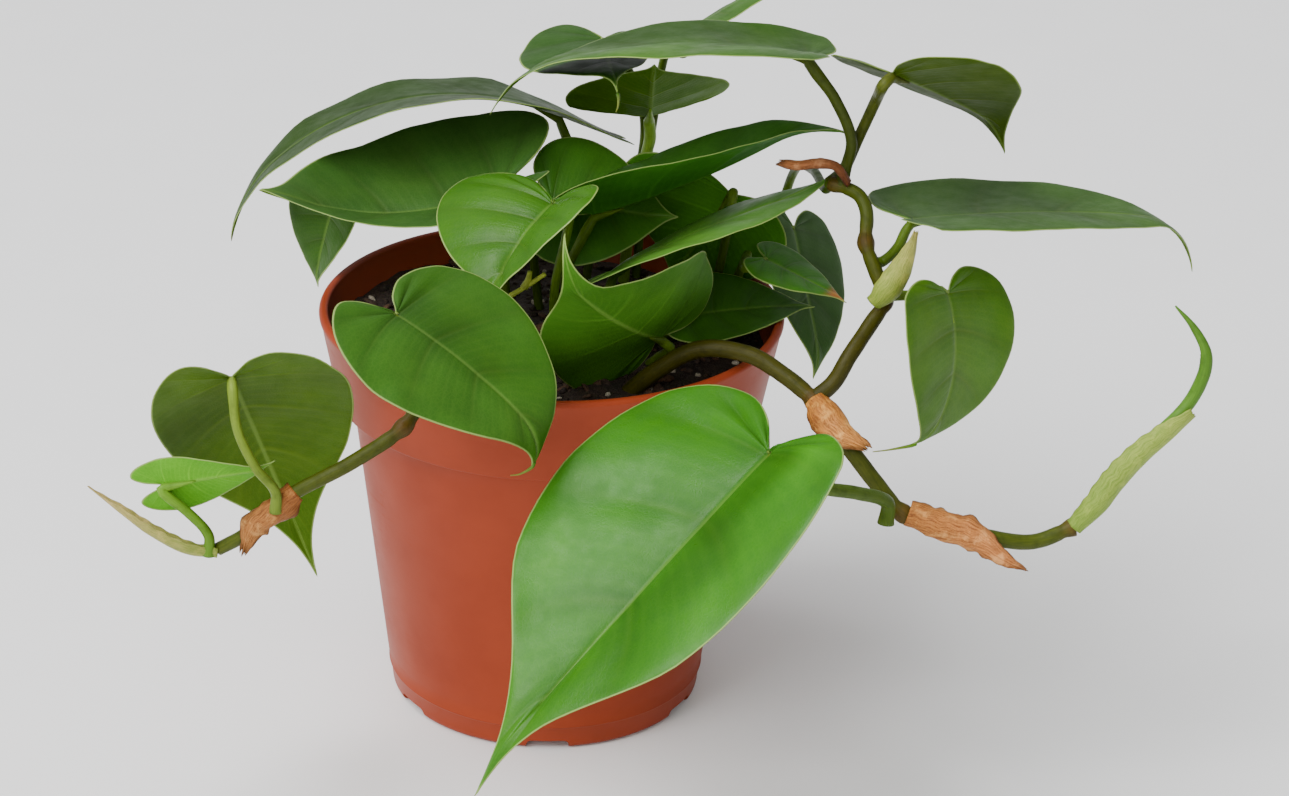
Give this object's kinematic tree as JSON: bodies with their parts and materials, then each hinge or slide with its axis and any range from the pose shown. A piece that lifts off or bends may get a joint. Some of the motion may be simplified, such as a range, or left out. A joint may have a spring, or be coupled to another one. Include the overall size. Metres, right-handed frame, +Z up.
{
  "type": "potted philodendron",
  "caption": "Trailing heart-leaf philodendron in a tapered round terracotta-coloured plastic nursery pot, with glossy green pointed leaves and papery node sheaths.",
  "frame": {"origin": "centre of the pot's flat underside, on the floor", "axes": "+Z up along the pot's axis; -Y is the front, towards which the largest leaf hangs; +X is the right-hand side, the way of the longest vine"},
  "size_m": [0.2463, 0.1781, 0.1786],
  "materials": {
    "terracotta_plastic": "satin",
    "soil": "rough",
    "leaf": "waxy gloss",
    "stem": "smooth",
    "sheath_dry": "papery",
    "sheath_fresh": "satin",
    "sheath_pale": "satin"
  },
  "bodies": {
    "root": {"leaf_arching": "leaf", "leaf_centre_back": "leaf", "leaf_centre_glossy": "leaf", "leaf_dry_tip": "leaf", "leaf_folded": "leaf", "leaf_front": "leaf", "leaf_front_left": "leaf", "leaf_hanging_left": "leaf", "leaf_hanging_right": "leaf", "leaf_inner_long": "leaf", "leaf_inner_shaded": "leaf", "leaf_inner_upright": "leaf", "leaf_left_heart": "leaf", "leaf_left_new": "leaf", "leaf_low_shaded": "leaf", "leaf_raised": "leaf", "leaf_right_heart": "leaf", "leaf_right_long": "leaf", "leaf_rolled": "leaf", "leaf_top_long": "leaf", "leaf_top_small": "leaf", "leaf_topmost": "leaf", "leaf_upper_left": "leaf", "leaf_upper_right": "leaf", "petiole_arching": "stem", "petiole_centre_back": "stem", "petiole_centre_glossy": "stem", "petiole_dry_tip": "stem", "petiole_folded": "stem", "petiole_front": "stem", "petiole_front_left": "stem", "petiole_hanging_left": "stem", "petiole_hanging_right": "stem", "petiole_inner_long": "stem", "petiole_inner_shaded": "stem", "petiole_inner_upright": "stem", "petiole_left_heart": "stem", "petiole_left_new": "stem", "petiole_low_shaded": "stem", "petiole_raised": "stem", "petiole_right_heart": "stem", "petiole_right_long": "stem", "petiole_top_long": "stem", "petiole_top_small": "stem", "petiole_topmost": "stem", "petiole_upper_left": "stem", "petiole_upper_right": "stem", "pot": "terracotta_plastic", "sheath_branch_green": "sheath_fresh", "sheath_branch_ribbon": "sheath_dry", "sheath_left": "sheath_dry", "sheath_left_end": "sheath_pale", "sheath_right_end": "sheath_fresh", "sheath_right_first": "sheath_dry", "sheath_right_second": "sheath_dry", "soil": "soil", "vine_branch": "stem", "vine_left": "stem", "vine_right": "stem"}
  },
  "joints": []
}
